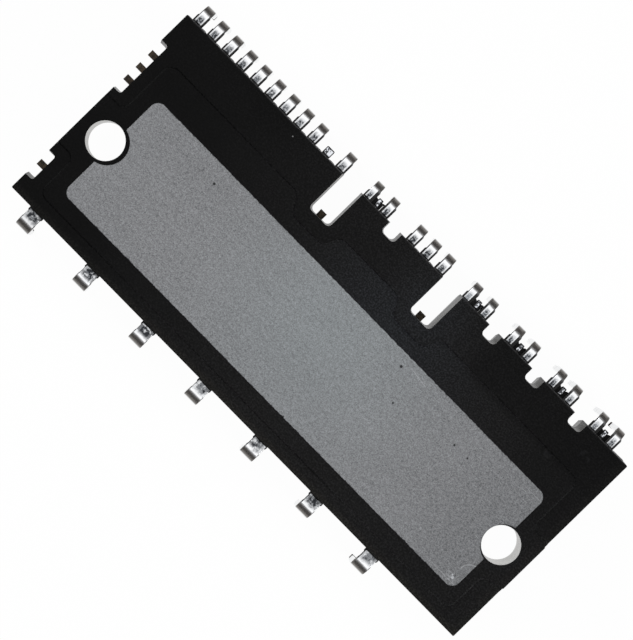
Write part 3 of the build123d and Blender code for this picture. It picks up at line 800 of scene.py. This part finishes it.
def store_fins(name, fins):
    """Fins as one mesh. Their rings run clockwise, so each face is turned round."""
    points, faces = join_tubes(fins)
    return store_mesh(name, points, [face[::-1] for face in faces])


taken = [(x - 0.78, x + 0.78) for x in control_xs] + [(cut_x - 0.63, cut_x + 0.63)]
taken += [(grid_x(p), grid_x(p) + pair_spacing) for p in pair_places]
taken += [(grid_x(p) - 2.2, grid_x(p) + 2.1) for p in slot_places]
taken += [(grid_x(p) - 1.5, grid_x(p) + 1.4) for p in notch_places]
stretches = gaps_between(-39.0, 39.0, taken)
flash = store_fins("parting_flash", [
    fin((b, body_half_width), (a, body_half_width), seed)
    for seed, (a, b) in enumerate(stretches, 1)
])
flash.data.materials.append(flash_resin())
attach(flash, "root")
print(len(stretches), "stretches of flash")

# %% [markdown]
# ## The skin on the webs
#
# Between the two leads of a close pair the resin reaches out along them as a web. Its front is
# uneven: a little resin stands out of it on both sides of the lead that was sheared off in the
# middle. It has the shape of a fin too, but it is nearly as thick as the leads.

# %% Skin on the webs
front = body_half_width + 0.88
skin = store_fins("web_skin", [
    fin((grid_x(place) + b, front), (grid_x(place) + a, front), seed, 0.24, lead_thickness - 0.06)
    for seed, place in enumerate(pair_places, 11)
    for a, b in ((0.40, 1.10), (1.70, 2.45))
])
skin.data.materials.append(mould_finish)
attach(skin, "root")

# %% [markdown]
# ## What is sealed inside
#
# The chips, the solder, the wires and the insulating sheet can't be seen, but they belong to the
# part and get finishes of their own, so that a cut through the model looks right.

# %% Inner pieces
def inner_finish(name, low, high, metallic, roughness, scale):
    f = Finish(name)
    cloud = f.speckle(scale, 3.0, 0.6)
    colour = f.mix(f.ease(cloud, 0.3, 0.7), low, high)
    tilt = f.bump(cloud, 0.2, 0.01)
    roughness = roughness + 0.1 * (cloud - 0.5)
    return f.surface(Base_Color=colour, Metallic=metallic, Roughness=roughness, Normal=tilt)


inner = {name: inner_finish(name, *look) for name, look in {
    "insulation": ((0.68, 0.67, 0.60), (0.78, 0.77, 0.71), 0.0, 0.6, 3.0),
    "silicon": ((0.16, 0.17, 0.20), (0.23, 0.24, 0.26), 0.6, 0.25, 1.2),
    "solder": ((0.50, 0.50, 0.50), (0.66, 0.66, 0.66), 1.0, 0.4, 2.5),
    "aluminium_wire": ((0.75, 0.75, 0.76), (0.85, 0.85, 0.86), 1.0, 0.35, 4.0),
    "gold_wire": ((0.78, 0.60, 0.26), (0.86, 0.69, 0.33), 1.0, 0.3, 5.0),
}.items()}
slots = {part["node"]: part["material_slot"] for part in frame["record"]["subparts"]}
for node, slot_name in slots.items():
    if slot_name in inner:
        dress(node, inner[slot_name])
print("inner nodes dressed:", sum(slot_name in inner for slot_name in slots.values()))

# %% [markdown]
# ## Studio
#
# The photograph has a pure white background. The floor is pale, and for rays that come straight
# from the camera, or by way of a shiny surface, most of its light is its own plain white, so that
# it looks white while it still shows a little of the module's shadow.

# %% Floor
def pale_floor():
    f = Finish("pale_floor")
    direct, glossy, through = (
        f.node("ShaderNodeLightPath", output=f"Is {kind} Ray")
        for kind in ("Camera", "Glossy", "Transmission")
    )
    seen = direct.larger(glossy).larger(through)
    mottle = f.speckle(0.02, 2.0, 0.5)
    colour = f.mix(mottle, (0.86, 0.86, 0.86), (0.90, 0.90, 0.90))
    paper = f.node("ShaderNodeBsdfDiffuse", {}, {0: colour})
    white = f.node("ShaderNodeEmission", {}, {0: (1, 1, 1, 1), 1: 1.0})
    shown = f.node("ShaderNodeMixShader", {}, {0: seen * 0.97, 1: paper, 2: white})
    f.node("ShaderNodeOutputMaterial", {}, {0: shown})
    return f.material


floor_reach = 2000.0
floor_corners = floor_reach * np.array([[-1, -1, 0], [1, -1, 0], [1, 1, 0], [-1, 1, 0]])
floor = store_mesh("pale_floor", floor_corners, [[0, 1, 2, 3]])
floor.data.materials.append(pale_floor())

# %% [markdown]
# ## Light
#
# The light is soft. A pale sky gets brighter towards the zenith, a large lamp hangs over the
# module, and a lamp to each side lights the leads and gives the walls a little shape.

# %% Light
world = bpy.data.worlds.new("studio")
bpy.context.scene.world = world
world.use_nodes = True
tree = world.node_tree
tree.nodes.clear()
direction = tree.nodes.new("ShaderNodeTexCoord")
split = tree.nodes.new("ShaderNodeSeparateXYZ")
ramp = tree.nodes.new("ShaderNodeValToRGB")
stops = [(0.0, 0.12), (0.60, 0.16), (0.85, 0.30), (1.0, 0.30)]
while len(ramp.color_ramp.elements) < len(stops):
    ramp.color_ramp.elements.new(0.5)
for element, (height, grey) in zip(ramp.color_ramp.elements, stops):
    element.position = height
    element.color = (grey, grey, grey * 1.03, 1)
background = tree.nodes.new("ShaderNodeBackground")
sky = tree.nodes.new("ShaderNodeOutputWorld")
tree.links.new(direction.outputs["Generated"], split.inputs[0])
tree.links.new(split.outputs[2], ramp.inputs[0])
tree.links.new(ramp.outputs[0], background.inputs[0])
background.inputs[1].default_value = 1.0
tree.links.new(background.outputs[0], sky.inputs[0])


def soft_box(name, place, size, watts):
    """A square area lamp, aimed at the middle of the module."""
    lamp = bpy.data.lights.new(name, "AREA")
    lamp.shape = "SQUARE"
    lamp.size = size
    lamp.energy = watts
    made = bpy.data.objects.new(name, lamp)
    made.location = place
    aim = Vector((0, 0, top_z * MM)) - Vector(place)
    made.rotation_euler = aim.to_track_quat("-Z", "Y").to_euler()
    bpy.context.scene.collection.objects.link(made)


soft_box("top_lamp", (-0.06, 0.0, 0.50), 0.54, 0.96)
soft_box("left_lamp", (-0.50, 0.05, 0.28), 0.30, 1.8)
soft_box("right_lamp", (0.50, -0.05, 0.28), 0.30, 1.8)

# %% [markdown]
# ## Camera
#
# The photograph was taken from nearly straight above with the module turned by 45 degrees in the
# frame. The place, the turn and the focal length come from matching the known spacing of the holes
# and leads with their places in the picture.

# %% Camera
camera_data = bpy.data.cameras.new("photo_camera")
focal_pixels = 2176.6
picture_pixels = 640
camera_data.sensor_width = 36.0
camera_data.lens = focal_pixels / picture_pixels * camera_data.sensor_width
camera_data.clip_start = 0.01
camera_data.clip_end = 10.0
camera = bpy.data.objects.new("photo_camera", camera_data)
right = Vector((0.698586, 0.715160, 0.022899))
down = Vector((0.714405, -0.698925, 0.033593))
forward = right.cross(down)
turn = Matrix((right, -down, -forward)).transposed()
camera_place = Vector((-11.826, 2.132, 282.192))
camera.matrix_world = Matrix.Translation(camera_place * MM) @ turn.to_4x4()
bpy.context.scene.collection.objects.link(camera)
bpy.context.scene.camera = camera
bpy.context.scene.view_settings.view_transform = "Standard"
